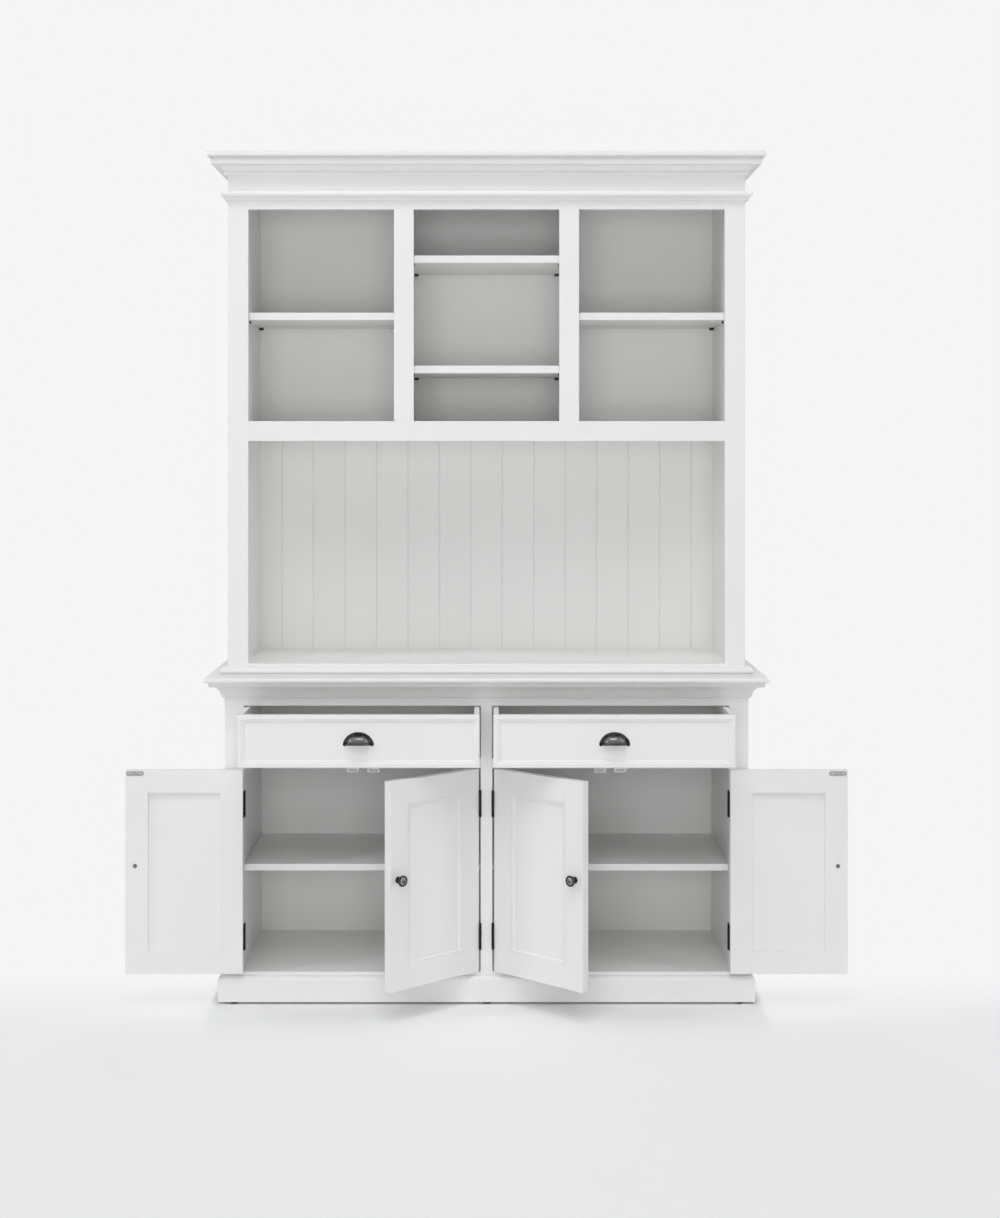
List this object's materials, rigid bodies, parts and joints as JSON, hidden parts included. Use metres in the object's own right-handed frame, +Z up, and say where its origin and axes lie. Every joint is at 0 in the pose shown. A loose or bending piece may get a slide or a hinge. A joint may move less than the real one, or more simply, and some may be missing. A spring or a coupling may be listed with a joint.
{
  "type": "kitchen buffet cabinet with hutch",
  "caption": "White painted kitchen buffet with panelled doors, cup-pull drawers and a moulded worktop, carrying an open hutch with shelves, a boarded back and a cornice.",
  "frame": {"origin": "on the floor under the middle of the worktop, on the foot of the middle glide", "axes": "+X to the right seen from the front, +Y to the back, +Z up"},
  "size_m": [1.8526, 0.6655, 2.2],
  "materials": {
    "white_paint": "satin white paint on wood",
    "dark_pewter": "dark antique pewter",
    "hinge_metal": "black oxide",
    "pin_metal": "dark zinc",
    "steel": "plain steel",
    "white_plastic": "moulded white"
  },
  "bodies": {
    "cabinet": {"base_back": "white_paint", "base_floor": "white_paint", "base_partition": "white_paint", "base_rails": "white_paint", "base_shelves": "white_paint", "base_side_left": "white_paint", "base_side_right": "white_paint", "base_stiles": "white_paint", "catch_magnets": "steel", "door_catches": "white_plastic", "drawer_runners": "white_paint", "floor_glides": "pin_metal", "hinge_frame_leaves": "hinge_metal", "hinge_frame_screws": "hinge_metal", "hinge_pins": "hinge_metal", "hutch_back_boards": "white_paint", "hutch_base_moulding": "white_paint", "hutch_cornice": "white_paint", "hutch_fixed_shelf": "white_paint", "hutch_floor": "white_paint", "hutch_necking_bead": "white_paint", "hutch_partitions": "white_paint", "hutch_rails": "white_paint", "hutch_shelves": "white_paint", "hutch_side_left": "white_paint", "hutch_side_right": "white_paint", "hutch_stiles": "white_paint", "hutch_top": "white_paint", "hutch_upper_back": "white_paint", "plinth_bearer": "white_paint", "plinth_boards": "white_paint", "shelf_pins": "pin_metal", "worktop": "white_paint", "worktop_moulding": "white_paint"},
    "door_outer_left": {"door_outer_left_frame": "white_paint", "door_outer_left_hinge_leaves": "hinge_metal", "door_outer_left_knob": "dark_pewter", "door_outer_left_panel": "white_paint", "door_outer_left_strike": "steel"},
    "door_inner_left": {"door_inner_left_frame": "white_paint", "door_inner_left_hinge_leaves": "hinge_metal", "door_inner_left_knob": "dark_pewter", "door_inner_left_panel": "white_paint", "door_inner_left_strike": "steel"},
    "door_inner_right": {"door_inner_right_frame": "white_paint", "door_inner_right_hinge_leaves": "hinge_metal", "door_inner_right_knob": "dark_pewter", "door_inner_right_panel": "white_paint", "door_inner_right_strike": "steel"},
    "door_outer_right": {"door_outer_right_frame": "white_paint", "door_outer_right_hinge_leaves": "hinge_metal", "door_outer_right_knob": "dark_pewter", "door_outer_right_panel": "white_paint", "door_outer_right_strike": "steel"},
    "drawer_left": {"drawer_left_box": "white_paint", "drawer_left_front": "white_paint", "drawer_left_pull": "dark_pewter"},
    "drawer_right": {"drawer_right_box": "white_paint", "drawer_right_front": "white_paint", "drawer_right_pull": "dark_pewter"}
  },
  "joints": [
    {"name": "door_outer_left_hinge", "type": "hinge", "parent": "cabinet", "child": "door_outer_left", "pos_m": [-0.6239, -0.2035, 0.343], "axis": [0, 0, -1], "range_deg": [-180, 0]},
    {"name": "door_inner_left_hinge", "type": "hinge", "parent": "cabinet", "child": "door_inner_left", "pos_m": [-0.0161, -0.2035, 0.343], "axis": [0, 0, 1], "range_deg": [-43.5, 41.5]},
    {"name": "door_inner_right_hinge", "type": "hinge", "parent": "cabinet", "child": "door_inner_right", "pos_m": [0.0161, -0.2035, 0.343], "axis": [0, 0, -1], "range_deg": [-43.5, 41.5]},
    {"name": "door_outer_right_hinge", "type": "hinge", "parent": "cabinet", "child": "door_outer_right", "pos_m": [0.6239, -0.2035, 0.343], "axis": [0, 0, 1], "range_deg": [-180, 0]},
    {"name": "drawer_left_slide", "type": "slide", "parent": "cabinet", "child": "drawer_left", "axis": [0, -1, 0], "range_m": [-0.168, 0.136]},
    {"name": "drawer_right_slide", "type": "slide", "parent": "cabinet", "child": "drawer_right", "axis": [0, -1, 0], "range_m": [-0.168, 0.136]}
  ]
}
